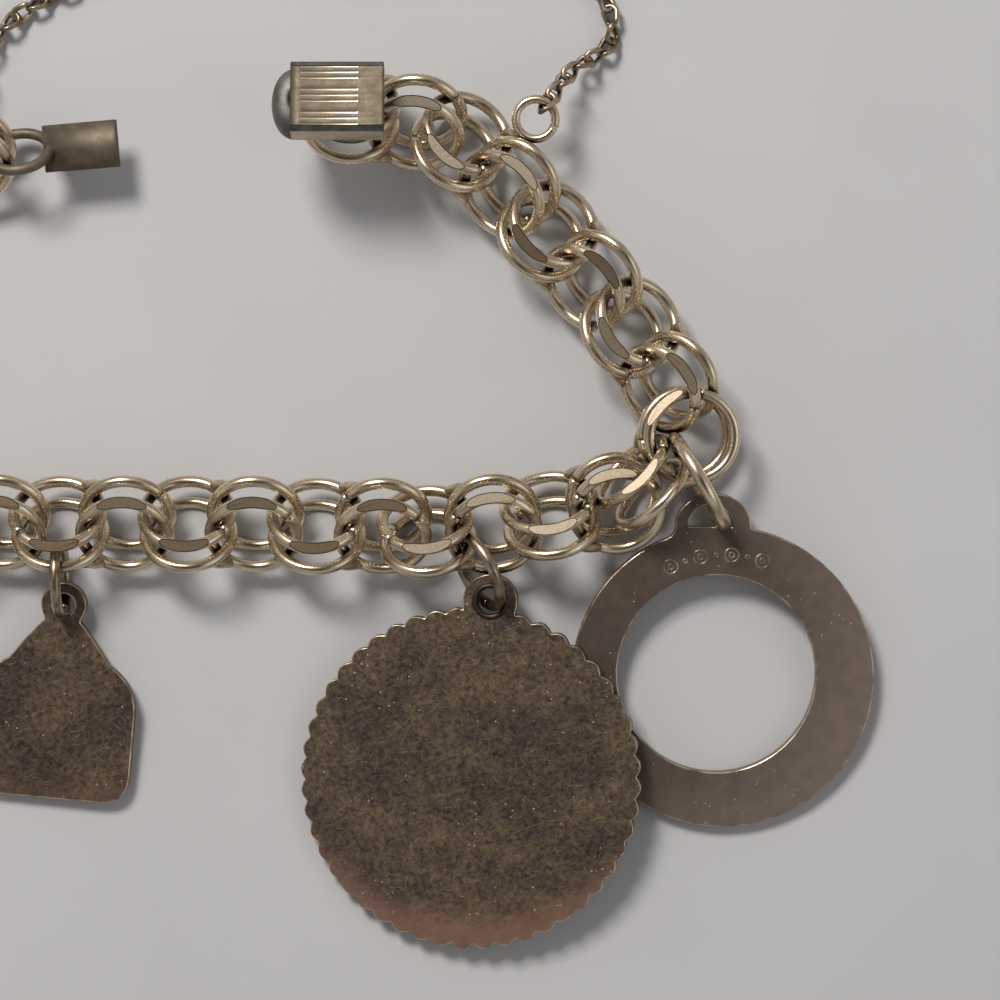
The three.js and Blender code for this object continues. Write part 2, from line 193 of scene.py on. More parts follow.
def ramp(tree, factor, stops):
    node = tree.nodes.new("ShaderNodeValToRGB")
    bar = node.color_ramp
    while len(bar.elements) < len(stops):
        bar.elements.new(0.5)
    for element, (position, colour) in zip(bar.elements, stops):
        element.position = position
        element.color = (*colour, 1) if len(colour) == 3 else (colour[0],) * 3 + (1,)
    tree.links.new(factor, node.inputs["Fac"])
    return node.outputs["Color"]


def blend_colours(tree, factor, first, second, how="MIX"):
    node = tree.nodes.new("ShaderNodeMix")
    node.data_type = "RGBA"
    node.blend_type = how
    if isinstance(factor, float):
        node.inputs["Factor"].default_value = factor
    else:
        tree.links.new(factor, node.inputs["Factor"])
    for value, socket in ((first, node.inputs["A"]), (second, node.inputs["B"])):
        if isinstance(value, tuple):
            socket.default_value = (*value, 1)
        else:
            tree.links.new(value, socket)
    return node.outputs["Result"]


def dents(tree, shader, height, strength):
    node = tree.nodes.new("ShaderNodeBump")
    node.inputs["Strength"].default_value = strength
    node.inputs["Distance"].default_value = DENT_DEPTH
    tree.links.new(height, node.inputs["Height"])
    tree.links.new(node.outputs["Normal"], shader.inputs["Normal"])


# %% [markdown]
# Grime and painted shade sit where a cloth and the light can't reach: between two rings and beside
# the solder. The Ambient Occlusion node finds such corners from the shapes themselves, so no map
# has to be painted, and darkens them partly as grime and partly as painted shade.

# %% Grime and painted shade in the corners
CORNER_REACH = 1.2 * MM
CORNER_RAYS = 10
WEAR_SCALE = 6000


def grime_and_painted_shade(tree, start, end):
    node = tree.nodes.new("ShaderNodeAmbientOcclusion")
    node.samples = CORNER_RAYS
    node.inputs["Distance"].default_value = CORNER_REACH
    return ramp(tree, node.outputs["AO"], [(start, (1,)), (end, (0,))])


def metal_finish(name, light, deep, dirt_and_shade, rough, corners, patch=420, dent=0.12):
    material, tree, shader = new_finish(name)
    vector = coordinates(tree)
    tone = ramp(tree, cloud(tree, vector, patch, 4), [(0.35, deep), (0.62, light)])
    # Corners are darkened towards the dark corner colour, partly grime and partly painted shade.
    soiled_and_shaded = blend_colours(tree, grime_and_painted_shade(tree, *corners), tone, dirt_and_shade)
    tree.links.new(soiled_and_shaded, shader.inputs["Base Color"])
    wear = cloud(tree, vector, WEAR_SCALE, 3)
    low, high = rough
    tree.links.new(ramp(tree, wear, [(0.3, (low,)), (0.75, (high,))]), shader.inputs["Roughness"])
    shader.inputs["Metallic"].default_value = 1.0
    dents(tree, shader, wear, dent)
    return material


# %% [markdown]
# The chain is gold filled: a pale yellow skin, softly scratched by wear, and browner where two
# rings meet, partly as grime and partly as painted shade. The filed flats are duller, because a file
# leaves a fine even grain, and each has a thin dark line of painted shade round its rim.

# %% Finishes of the chain
chain_gold = metal_finish(
    "chain_gold", light=(0.84, 0.71, 0.525), deep=(0.58, 0.455, 0.32), dirt_and_shade=(0.05, 0.028, 0.014),
    rough=(0.25, 0.31), corners=(0.44, 0.92), dent=0.01,
)
solder = metal_finish(
    "solder", light=(0.74, 0.62, 0.46), deep=(0.46, 0.36, 0.25), dirt_and_shade=(0.05, 0.03, 0.018),
    rough=(0.26, 0.42), corners=(0.4, 0.88), patch=1500, dent=0.2,
)
dark_wire = metal_finish(
    "dark_wire", light=(0.56, 0.45, 0.33), deep=(0.22, 0.155, 0.1), dirt_and_shade=(0.035, 0.02, 0.012),
    rough=(0.26, 0.44), corners=(0.35, 0.9), patch=700, dent=0.1,
)
# A thin dark finish for the rim of each flat, a painted shade.
flat_rim_shade = metal_finish(
    "flat_rim_shade", light=(0.1, 0.075, 0.05), deep=(0.05, 0.037, 0.025), dirt_and_shade=(0.02, 0.015, 0.01),
    rough=(0.4, 0.6), corners=(0.3, 0.9),
)
DARK_FLAT = (0.14, 0.1, 0.06)
MIDDLE_FLAT = (0.5, 0.37, 0.24)
LIGHT_FLAT = (0.82, 0.69, 0.51)
FILE_GRAIN = 5200


def filed_finish():
    material, tree, shader = new_finish("filed_flat")
    # The tone of a flat is a painted reflection, running from dark through middle to cream.
    tone = tree.nodes.new("ShaderNodeAttribute")
    tone.attribute_name = "flat_reflection_tone"
    shade = ramp(tree, tone.outputs["Fac"], [(0.0, DARK_FLAT), (0.5, MIDDLE_FLAT), (1.0, LIGHT_FLAT)])
    grain = cloud(tree, coordinates(tree), FILE_GRAIN, 2, 0.7)
    speckled = ramp(tree, grain, [(0.3, (0.72,)), (0.7, (1.0,))])
    tree.links.new(blend_colours(tree, 1.0, shade, speckled, "MULTIPLY"), shader.inputs["Base Color"])
    shader.inputs["Metallic"].default_value = 0.75
    shader.inputs["Roughness"].default_value = 0.36
    dents(tree, shader, grain, 0.1)
    return material


filed_flat = filed_finish()
print("chain finishes made")

# %% [markdown]
# Rings are swept by two angles in bmesh: round the ring, and round its wire. Blender's own torus
# would do for one, but four must share a mesh and be filed together. A jump ring is bent from a
# cut wire, so it stays open by a hair, with a flat end on each side of its seam.

# %% Wire rings
WIRE_SIDES = 16


def join_rows(bm, here, ahead):
    for k in range(len(here)):
        after = (k + 1) % len(here)
        bm.faces.new((here[k], ahead[k], ahead[after], here[after]))


def add_ring(bm, radius, wire, turn=None, around=56, seam=0.0, seam_at=0.0):
    turn = turn or Matrix.Identity(4)
    is_open = seam > 0
    stations = around + 1 if is_open else around
    rows = []
    for i in range(stations):
        angle = math.radians(seam_at) + seam / 2 + (2 * math.pi - seam) * i / around
        row = []
        for k in range(WIRE_SIDES):
            bend = 2 * math.pi * k / WIRE_SIDES
            reach = radius + wire * math.cos(bend)
            point = Vector((reach * math.cos(angle), reach * math.sin(angle), wire * math.sin(bend)))
            row.append(bm.verts.new(turn @ point))
        rows.append(row)
    for i in range(around):
        join_rows(bm, rows[i], rows[(i + 1) % stations])
    if is_open:
        bm.faces.new(list(reversed(rows[0])))
        bm.faces.new(rows[-1])


def finish_piece(name, bm, place, finishes, nodes=()):
    bmesh.ops.recalc_face_normals(bm, faces=bm.faces)
    mesh = bpy.data.meshes.new(name)
    bm.to_mesh(mesh)
    bm.free()
    mesh.transform(place @ Matrix.Scale(MM, 4))
    for material in finishes:
        mesh.materials.append(material)
    mesh.shade_smooth()
    piece = bpy.data.objects.new(name, mesh)
    bpy.context.scene.collection.objects.link(piece)
    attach(piece, "root")
    if nodes:
        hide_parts(*nodes)
    return piece


# %% [markdown]
# One chain unit is four equal rings. Two lie parallel and lean one way, two lean the other way and
# cross them, and solder in the side notches makes the four one piece. The top and bottom are then
# filed level, which leaves the lens-shaped flats that catch the light. Cutting the round wire with
# a plane and filling the cut gives that shape exactly as the file does.

# %% Sizes of the chain unit
RING_RADIUS = 3.25
WIRE_RADIUS = 0.44
PAIR_SPACING = 2.36
RING_SLANT = math.radians(42)
UNIT_PITCH = 5.0
FILE_DEPTH = 0.36
FLAT_RIM_WIDTH = 0.07
half_pair = PAIR_SPACING / 2
wire_top = RING_RADIUS * math.sin(RING_SLANT) + half_pair * math.cos(RING_SLANT) + WIRE_RADIUS
flat_height = wire_top - FILE_DEPTH
outer_row = RING_RADIUS * math.cos(RING_SLANT) + half_pair * math.sin(RING_SLANT)
FLAT, LINE, SOLDER = 1, 2, 3
print("flats filed at, in mm:", round(flat_height, 2))


def file_level(bm, side):
    everything = bm.verts[:] + bm.edges[:] + bm.faces[:]
    cut = bmesh.ops.bisect_plane(
        bm, geom=everything, plane_co=(0, 0, side * flat_height), plane_no=(0, 0, side), clear_outer=True
    )
    rims = [e for e in cut["geom_cut"] if isinstance(e, bmesh.types.BMEdge)]
    flats = bmesh.ops.holes_fill(bm, edges=rims, sides=0)["faces"]
    for edge in rims:
        edge.smooth = False
    for face in flats:
        face.material_index = FLAT
    # The inset rim of each flat takes the dark finish, a painted shade along its edge.
    known = set(bm.faces)
    bmesh.ops.inset_individual(bm, faces=flats, thickness=FLAT_RIM_WIDTH, use_even_offset=True)
    for face in bm.faces:
        if face not in known:
            face.material_index = LINE
            for edge in face.edges:
                edge.smooth = False


# %% [markdown]
# Solder runs into the notch between two outer rings and freezes as a small saddle. An egg shape
# laid across the notch, with a few soft lumps, reads as that. A bead of the same kind sits below,
# where two rings cross in the middle. Each ring's seam is turned by chance to one of four places.

# %% Solder and seams
SOLDER_REACH = 0.95
SOLDER_WIDTH = 0.42
BEAD_WIDTH = 0.3
LUMP_SIZE = 2.3
SEAM_GAP = 0.016
SEAM_TURNS = (38, 145, 218, 322)
CUT_CRUMB = 0.0008


def notch_point(x):
    cosine = (UNIT_PITCH / 2 - abs(x)) / RING_RADIUS
    sine = math.sqrt(1 - cosine**2)
    y = half_pair * math.sin(RING_SLANT) + RING_RADIUS * sine * math.cos(RING_SLANT)
    z = RING_RADIUS * sine * math.sin(RING_SLANT) - half_pair * math.cos(RING_SLANT)
    return Vector((x, y, math.copysign(z, x)))


def add_egg(bm, start, end, width, finish, lumps=0.12, seed=0.0):
    along = end - start
    turn = Vector((1, 0, 0)).rotation_difference(along.normalized()).to_matrix().to_4x4()
    size = Matrix.Diagonal((along.length / 2, width, width, 1))
    place = Matrix.Translation((start + end) / 2) @ turn @ size
    made = bmesh.ops.create_icosphere(bm, subdivisions=3, radius=1)
    for vert in made["verts"]:
        swell = 1 + lumps * noise.noise(vert.co * LUMP_SIZE + Vector((seed, 0, 0)))
        vert.co = place @ (vert.co * swell)
    for face in {f for v in made["verts"] for f in v.link_faces}:
        face.material_index = finish


def chain_unit(seed):
    bm = bmesh.new()
    seams = random.Random(seed)
    for middle, lean in ((-UNIT_PITCH / 2, -1), (UNIT_PITCH / 2, 1)):
        for offset in (-half_pair, half_pair):
            slant = Matrix.Rotation(lean * RING_SLANT, 4, "X")
            turn = Matrix.Translation((middle, 0, 0)) @ slant @ Matrix.Translation((0, 0, offset))
            seam_turn = seams.choice(SEAM_TURNS)
            add_ring(bm, RING_RADIUS, WIRE_RADIUS, turn, seam=SEAM_GAP, seam_at=seam_turn)
    file_level(bm, 1)
    file_level(bm, -1)
    bmesh.ops.remove_doubles(bm, verts=bm.verts, dist=CUT_CRUMB)
    for side in (1, -1):
        half_turn = Matrix.Rotation(0 if side > 0 else math.pi, 4, "X")
        start = half_turn @ notch_point(-SOLDER_REACH)
        end = half_turn @ notch_point(SOLDER_REACH)
        add_egg(bm, start, end, SOLDER_WIDTH, SOLDER, seed=seed + side)
    hook_x = math.sqrt(RING_RADIUS**2 - (half_pair * math.tan(RING_SLANT)) ** 2)
    bead = hook_x - UNIT_PITCH / 2
    hook_z = half_pair / math.cos(RING_SLANT)
    bead_end = Vector((bead, 0, -hook_z))
    bead_start = Vector((-bead, 0, -hook_z))
    add_egg(bm, bead_start, bead_end, BEAD_WIDTH, SOLDER, seed=seed + 5)
    return bm


# %% [markdown]
# Each filed flat mirrors another part of the room, so some look dark and some cream. That reflection
# is painted: the tone of a unit's flats is a number kept on its faces, which the filed finish reads.

# %% The seventeen units
USUAL_TONE = 0.5
flat_reflection_tones = {
    "chain_unit_08": 0.45,
    "chain_unit_09": 0.4,
    "chain_unit_10": 0.42,
    "chain_unit_11": 0.85,
    "chain_unit_12": 0.8,
    "chain_unit_13": 0.75,
    "chain_unit_14": 0.6,
    "chain_unit_15": 0.25,
    "chain_unit_16": 0.95,
    "chain_unit_17": 1.0,
}
unit_finishes = [chain_gold, filed_flat, flat_rim_shade, solder]
for number, name in enumerate(unit_names):
    bm = chain_unit(number)
    unit = finish_piece("ring_" + name, bm, unit_places[name], unit_finishes, [name])
    tones = unit.data.attributes.new("flat_reflection_tone", "FLOAT", "FACE")
    tones.data.foreach_set("value", [flat_reflection_tones.get(name, USUAL_TONE)] * len(unit.data.polygons))
print("triangles in a unit:", sum(len(p.vertices) - 2 for p in unit.data.polygons))

# %% [markdown]
# The box clasp is folded from satin strip. Its flat top is a warm satin, the rolled edges are painted
# grey as shade, and the walls below them are painted paler as light. One metal recipe makes all five,
# and only its numbers change, so they keep one family look.

# %% Finishes of the clasp
clasp_satin = metal_finish(
    "clasp_satin", light=(0.27, 0.222, 0.163), deep=(0.19, 0.155, 0.112), dirt_and_shade=(0.1, 0.07, 0.045),
    rough=(0.56, 0.68), corners=(0.1, 0.4), patch=900, dent=0.2,
)
# The cut lines are painted paler than the satin, a painted highlight in the grooves.
cut_highlight = metal_finish(
    "clasp_cut_highlight", light=(0.66, 0.57, 0.43), deep=(0.5, 0.42, 0.3), dirt_and_shade=(0.3, 0.22, 0.15),
    rough=(0.36, 0.46), corners=(0.1, 0.3), dent=0.05,
)
nose_steel = metal_finish(
    "nose_steel", light=(0.25, 0.24, 0.22), deep=(0.15, 0.145, 0.13), dirt_and_shade=(0.05, 0.045, 0.04),
    rough=(0.52, 0.66), corners=(0.2, 0.6), patch=800, dent=0.2,
)
# The walls are painted paler, a painted light on the sides below the rolls.
clasp_wall_light = metal_finish(
    "clasp_wall_light", light=(0.62, 0.53, 0.41), deep=(0.47, 0.395, 0.3), dirt_and_shade=(0.2, 0.15, 0.1),
    rough=(0.5, 0.62), corners=(0.05, 0.3), patch=900, dent=0.1,
)
# The rolled edges are painted dark grey, a painted shade where the strip turns away from the light.
bend_shade = metal_finish(
    "bend_shade", light=(0.2, 0.19, 0.175), deep=(0.12, 0.115, 0.105), dirt_and_shade=(0.04, 0.035, 0.03),
    rough=(0.4, 0.55), corners=(0.2, 0.6), patch=1100, dent=0.2,
)

# %% [markdown]
# The cover is a cross-section, drawn once and swept along in a few steps, so that its three groups
# of three fine cut lines can start and stop where they do on the real one. A carved texture would
# be quicker, but the cuts catch the light as real grooves do, and their finish is also painted paler,
# a painted highlight.

# %% Cover of the clasp
CLASP_LENGTH = 6.8
CLASP_WIDTH = 5.3
CLASP_HEIGHT = 2.55
CLASP_ROLL = 0.42
CLASP_LIP = 0.12
ROLL_STEPS = 6
CUT_WIDTH = 0.075
CUT_DEPTH = 0.07
CUT_SPACING = 0.44
CUT_START = 1.85
CUT_END = 6.05
CUT_RUN = 0.1
COVER_CUT, COVER_BEND, COVER_WALL = 1, 2, 3
CREASE = math.radians(28)
cut_groups = (-1.74, 0.0, 1.74)


def cover_profile():
    half = CLASP_WIDTH / 2
    profile = [(-half, 0.0, False)]
    for step in range(ROLL_STEPS + 1):
        angle = math.pi - math.pi / 2 * step / ROLL_STEPS
        y = -half + CLASP_ROLL + CLASP_ROLL * math.cos(angle)
        z = CLASP_HEIGHT - CLASP_ROLL + CLASP_ROLL * math.sin(angle)
        profile.append((y, z, False))
    mirrored = [(-y, z, False) for y, z, _ in reversed(profile)]
    for group in cut_groups:
        for line in (-CUT_SPACING, 0, CUT_SPACING):
            y = group + line
            profile.append((y - CUT_WIDTH, CLASP_HEIGHT, False))
            profile.append((y, CLASP_HEIGHT, True))
            profile.append((y + CUT_WIDTH, CLASP_HEIGHT, False))
    return profile + mirrored


def clasp_cover():
    bm = bmesh.new()
    profile = cover_profile()
    plain = [(0.0, 0), (CLASP_LIP, 0), (CUT_START, 0)]
    grooved = [(CUT_START + CUT_RUN, 1), (CUT_END - CUT_RUN, 1)]
    stations = plain + grooved + [(CUT_END, 0), (CLASP_LENGTH, 0)]
    rows = []
    for x, cut in stations:
        rows.append([bm.verts.new((x, y, z - CUT_DEPTH * cut * is_cut)) for y, z, is_cut in profile])
    for number, (here, ahead) in enumerate(zip(rows, rows[1:])):
        in_groove = stations[number][1] or stations[number + 1][1]
        for k in range(len(profile) - 1):
            face = bm.faces.new((here[k], ahead[k], ahead[k + 1], here[k + 1]))
            from_wall = min(k, len(profile) - 2 - k)
            if in_groove and (profile[k][2] or profile[k + 1][2]):
                face.material_index = COVER_CUT
            if from_wall < 2:
                face.material_index = COVER_WALL
            elif from_wall <= ROLL_STEPS + 1:
                face.material_index = COVER_BEND
        bm.faces.new((here[-1], ahead[-1], ahead[0], here[0]))
    bm.faces.new(list(reversed(rows[0])))
    bm.faces.new(rows[-1])
    for edge in bm.edges:
        edge.smooth = edge.calc_face_angle(0) < CREASE
    return bm


# %% [markdown]
# Below the cover the box ends in a domed nose, duller than the strip. A quarter of a rounded
# block, squared off a little, is nearer to the pressed sheet than a half ball would be.

# %% Nose of the clasp
NOSE_REACH = 1.5
NOSE_HEIGHT = 1.75
NOSE_TUCK = 0.15
NOSE_MARGIN = 0.02
NOSE_SQUARE = 0.55
NOSE_SHOULDER = 0.9
NOSE_ACROSS = 28
NOSE_UP = 10
NOSE_CRUMB = 0.001


def clasp_nose():
    bm = bmesh.new()
    rows = []
    for j in range(NOSE_UP + 1):
        lift = math.pi / 2 * j / NOSE_UP
        narrow = math.cos(lift) ** NOSE_SQUARE
        height = NOSE_HEIGHT * math.sin(lift) ** NOSE_SHOULDER
        row = []
        for i in range(NOSE_ACROSS + 1):
            sweep = -math.pi / 2 + math.pi * i / NOSE_ACROSS
            x = CLASP_LENGTH - NOSE_TUCK + (NOSE_REACH + NOSE_TUCK) * math.cos(sweep) * narrow
            y = (CLASP_WIDTH / 2 - NOSE_MARGIN) * math.sin(sweep) * narrow
            row.append(bm.verts.new((x, y, height)))
        rows.append(row)
    for here, above in zip(rows, rows[1:]):
        for i in range(NOSE_ACROSS):
            bm.faces.new((here[i], here[i + 1], above[i + 1], above[i]))
    bmesh.ops.remove_doubles(bm, verts=bm.verts, dist=NOSE_CRUMB)
    open_edges = [edge for edge in bm.edges if edge.is_boundary]
    bmesh.ops.holes_fill(bm, edges=open_edges, sides=0)
    return bm


axes, low, high = plate_place("clasp_box", 180)
clasp_place = plate_matrix(axes, low[0], (low[1] + high[1]) / 2, low[2])
# The rolled bend takes a painted shade and the walls a painted light.
cover_finishes = [clasp_satin, cut_highlight, bend_shade, clasp_wall_light]
finish_piece("clasp_cover", clasp_cover(), clasp_place, cover_finishes, ["clasp_box"])
finish_piece("clasp_nose", clasp_nose(), clasp_place, [nose_steel])
print("clasp placed, length in mm:", round(high[0] - low[0], 2))

# %% [markdown]
# Two drops of solder hold the box on its unit. Their places are read from the CAD: the highest
# points of the last unit under the box, one on each side of its middle.

# %% Solder under the clasp
BOX_MARGIN = (0.5, 0.3)
BOX_MIDDLE = 0.4
DROP_WIDTH = 0.62
DROP_SINK = 0.45
DROP_TOP = 0.45


def is_below_box(point):
    end_margin, side_margin = BOX_MARGIN
    in_length = end_margin < point.x < CLASP_LENGTH - end_margin
    return in_length and BOX_MIDDLE < abs(point.y) < CLASP_WIDTH / 2 - side_margin


to_clasp = clasp_place.inverted()
last_corners = [(to_clasp @ vert.co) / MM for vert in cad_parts[unit_names[-1]].data.vertices]
below_box = [point for point in last_corners if is_below_box(point)]
bm = bmesh.new()
for side in (-1, 1):
    seat = max((point for point in below_box if point.y * side > 0), key=lambda point: point.z)
    print("solder drop under the clasp at, in mm:", [round(value, 2) for value in seat])
    drop_start = Vector((seat.x, seat.y, seat.z - DROP_SINK))
    drop_end = Vector((seat.x, seat.y, DROP_TOP))
    add_egg(bm, drop_start, drop_end, DROP_WIDTH, 0, seed=side)
finish_piece("clasp_solder", bm, clasp_place, [solder])

# %% [markdown]
# The tongue waits at the other end of the bracelet. It is a springy leaf folded back on itself,
# so its section is a long U, and it hangs on the end link by a ring of its own.

# %% The tongue
TONGUE_RING = 2.3
TONGUE_WIRE = 0.4
TONGUE_HANG = 0.7
TONGUE_LENGTH = 5.6
TONGUE_WIDTH = 3.5
TONGUE_HEIGHT = 0.6
TONGUE_LEAF = 0.2
TONGUE_STEP = 1.2
TONGUE_CREASE = math.radians(35)
TIP_STEPS = 8


def tongue_profile(root, tip):
    half = TONGUE_HEIGHT / 2
    inner = half - TONGUE_LEAF
    outside = [(root, half)]
    inside = [(root, inner)]
    for step in range(TIP_STEPS + 1):
        angle = math.pi / 2 - math.pi * step / TIP_STEPS
        outside.append((tip + half - half * math.cos(angle), half * math.sin(angle)))
        inside.append((tip + half - inner * math.cos(angle), inner * math.sin(angle)))
    outside.append((root - TONGUE_STEP, -half))
    inside.append((root - TONGUE_STEP, -inner))
    return outside, inside


def tongue_mesh():
    bm = bmesh.new()
    ring_x = -UNIT_PITCH / 2 - RING_RADIUS - TONGUE_HANG
    turn = Matrix.Translation((ring_x, 0, 0)) @ Matrix.Rotation(math.pi / 2 - RING_SLANT, 4, "X")
    add_ring(bm, TONGUE_RING, TONGUE_WIRE, turn)
    root = ring_x - TONGUE_RING + TONGUE_WIRE
    outside, inside = tongue_profile(root, root - TONGUE_LENGTH)
    loop = outside + list(reversed(inside))
    sides = []
    for y in (-TONGUE_WIDTH / 2, TONGUE_WIDTH / 2):
        sides.append([bm.verts.new((x, y, z)) for x, z in loop])
    left, right = sides
    faces = []
    for k in range(len(loop)):
        after = (k + 1) % len(loop)
        faces.append(bm.faces.new((left[k], left[after], right[after], right[k])))
    for k in range(len(outside) - 1):
        last = len(loop) - 1
        for side in sides:
            faces.append(bm.faces.new((side[k], side[k + 1], side[last - k - 1], side[last - k])))
    for edge in {e for f in faces for e in f.edges}:
        edge.smooth = edge.calc_face_angle(0) < TONGUE_CREASE
    return bm


def outward(place, node):
    low_corner, high_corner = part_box(node)
    middle = (low_corner + high_corner) / 2
    towards = (middle - place.translation).dot(place.col[0].to_3d())
    return place if towards < 0 else place @ Matrix.Rotation(math.pi, 4, "Z")


tongue_place = outward(unit_places[unit_names[0]], "clasp_tongue")
finish_piece("tongue_leaf", tongue_mesh(), tongue_place, [clasp_satin], ["clasp_tongue"])
print("tongue placed at, in mm:", [round(v / MM, 1) for v in tongue_place.translation])

# %% [markdown]
# The small ring for the safety chain is soldered flat against the side of its unit, and its seam
# is turned away from the solder. It is part of the unit in the CAD, so it replaces nothing.

# %% The small ring
SMALL_RING = 1.48
SMALL_WIRE = 0.33
SMALL_RING_ALONG = -0.45
SMALL_RING_UP = 0.7
SMALL_RING_SINK = 0.1
RING_SOLDER_REACH = 1.3
RING_SOLDER_WIDTH = 0.36
RING_SOLDER_FOOT = 0.3
safety_unit = "chain_unit_16"
safety_place = unit_places[safety_unit]
to_unit = safety_place.inverted()
reaches = [(to_unit @ vert.co).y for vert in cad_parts[safety_unit].data.vertices]
if max(reaches) > -min(reaches):
    safety_place = safety_place @ Matrix.Rotation(math.pi, 4, "Z")
ring_y = -outer_row - WIRE_RADIUS - SMALL_RING + SMALL_RING_SINK
ring_middle = Vector((SMALL_RING_ALONG, ring_y, SMALL_RING_UP))
bm = bmesh.new()
add_ring(bm, SMALL_RING, SMALL_WIRE, Matrix.Translation(ring_middle), 40, seam=0.05, seam_at=200)
solder_start = ring_middle + Vector((0, RING_SOLDER_REACH, 0))
solder_end = Vector((-RING_SOLDER_FOOT, -outer_row + RING_SOLDER_FOOT, RING_SOLDER_FOOT))
add_egg(bm, solder_start, solder_end, RING_SOLDER_WIDTH, 0)
finish_piece("safety_ring", bm, safety_place, [chain_gold])
small_ring_middle = safety_place @ (ring_middle * MM)
print("small ring in mm:", [round(v / MM, 1) for v in small_ring_middle])

# %% [markdown]
# The safety chain is a fine cable chain. Its route keeps the chosen points of the source, counted
# from the small ring, and a smooth curve runs through them. A curve object would do as well, but
# the links need its length and its direction at every step, so the curve is worked out here.

# %% Route of the safety chain
route = [
    (0.45, 0.65, 4.3),
    (1.19, 1.65, 4.1),
    (2.85, 3.92, 2.2),
    (5.25, 5.62, 0.8),
    (5.85, 7.22, 0.68),
    (4.95, 9.82, 0.68),
    (1.35, 12.62, 0.68),
    (-6.65, 14.42, 0.68),
    (-16.65, 14.62, 0.68),
    (-26.65, 13.42, 0.68),
    (-34.65, 10.62, 0.68),
    (-39.25, 8.02, 0.8),
    (-41.65, 5.12, 1.5),
    (-42.6, 1.32, 4.3),
]
start_x, start_y = small_ring_middle.x / MM, small_ring_middle.y / MM
knots = np.array([(start_x + x, start_y + y, z) for x, y, z in route])


ROUTE_STEPS = 40


def smooth_route(points):
    padded = np.vstack([2 * points[0] - points[1], points, 2 * points[-1] - points[-2]])
    path = []
    for i in range(1, len(padded) - 2):
        before, a, b, after = padded[i - 1 : i + 3]
        for step in range(ROUTE_STEPS):
            t = step / ROUTE_STEPS
            bend = 2 * before - 5 * a + 4 * b - after
            twist = 3 * a - before - 3 * b + after
            path.append((2 * a + (b - before) * t + bend * t**2 + twist * t**3) / 2)
    path.append(points[-1])
    return np.array(path)


safety_path = smooth_route(knots)
strides = np.linalg.norm(np.diff(safety_path, axis=0), axis=1)
travel = np.concatenate([[0], np.cumsum(strides)])
print("safety chain length in mm:", round(travel[-1], 1))

# %% [markdown]
# Links are set along the route at even steps, each turned about a quarter from the one before,
# which is how they lie when they interlock. Every link is twisted a little, so it lies flatter, and
# a small chance turn keeps the chain from looking ruled.

# %% Links of the safety chain
LINK_LENGTH = 2.0
LINK_WIDTH = 1.5
LINK_WIRE = 0.21
LINK_PITCH = 1.26
LINK_TWIST = math.radians(38)
LINK_STATIONS = 24
LINK_SIDES = 10
LINK_ROLLS = (-42, 48)
LINK_SHAKE = 12
LOOK_ALONG = 0.3


def add_link(bm, place):
    straight = (LINK_LENGTH - LINK_WIDTH) / 2
    bend_radius = LINK_WIDTH / 2 - LINK_WIRE
    rows = []
    for i in range(LINK_STATIONS):
        angle = 2 * math.pi * i / LINK_STATIONS
        away = Vector((math.cos(angle), math.sin(angle), 0))
        middle = away * bend_radius + Vector((math.copysign(straight, away.x), 0, 0))
        row = []
        for k in range(LINK_SIDES):
            around = 2 * math.pi * k / LINK_SIDES
            offset = away * math.cos(around) + Vector((0, 0, 1)) * math.sin(around)
            point = middle + offset * LINK_WIRE
            row.append(bm.verts.new(place @ Matrix.Rotation(LINK_TWIST * point.x, 4, "X") @ point))
        rows.append(row)
    for i in range(LINK_STATIONS):
        join_rows(bm, rows[i], rows[(i + 1) % LINK_STATIONS])


def on_route(along):
    return Vector(np.array([np.interp(along, travel, safety_path[:, axis]) for axis in range(3)]))


def safety_chain():
    bm = bmesh.new()
    count = round(travel[-1] / LINK_PITCH)
    shake = random.Random(4)
    for i in range(count):
        along = travel[-1] * (i + 0.5) / count
        forward = (on_route(along + LOOK_ALONG) - on_route(along - LOOK_ALONG)).normalized()
        turn = forward.to_track_quat("X", "Z").to_matrix().to_4x4()
        roll = math.radians(LINK_ROLLS[i % 2] + shake.uniform(-LINK_SHAKE, LINK_SHAKE))
        add_link(bm, Matrix.Translation(on_route(along)) @ turn @ Matrix.Rotation(roll, 4, "X"))
    print("safety links:", count)
    return bm


links_place = Matrix.Identity(4)
finish_piece("safety_links", safety_chain(), links_place, [dark_wire], ["safety_chain"])

# %% [markdown]
# The big disc is a thin scalloped plate, seen from its back. Wear left it dark and mottled, with
# hair scratches, a few bright nicks, and bare copper low down where it rubs most. The mottling and
# the scratches are noises, each with its own stretch. The nicks are the middles of a few small
# cells. The copper is all that lies outside a soft-edged circle, so it can be put where it belongs.

# %% Patina of the disc
HAIR_STRETCH = (480, 9000, 1)
HAIRS = ((22, 3, 0.62), (38, 11, 0.63), (3, 19, 0.63), (-40, 31, 0.63), (75, 43, 0.63))
GRAIN_STRETCH = (500, 6000, 500)
GRAIN_TURN = 22
NICK_SCALE = 1900
NICK_COLOUR = (0.7, 0.62, 0.48)


def scratches(tree, turn, shift, start):
    marks = cloud(tree, coordinates(tree, HAIR_STRETCH, turn, shift), 1.0, 3, 0.6)
    return ramp(tree, marks, [(start, (0,)), (start + 0.05, (1,))])


def faded(tree, factor, strength):
    node = tree.nodes.new("ShaderNodeMath")
    node.operation = "MULTIPLY"
    node.inputs[1].default_value = strength
    tree.links.new(factor, node.inputs[0])
    return node.outputs["Value"]


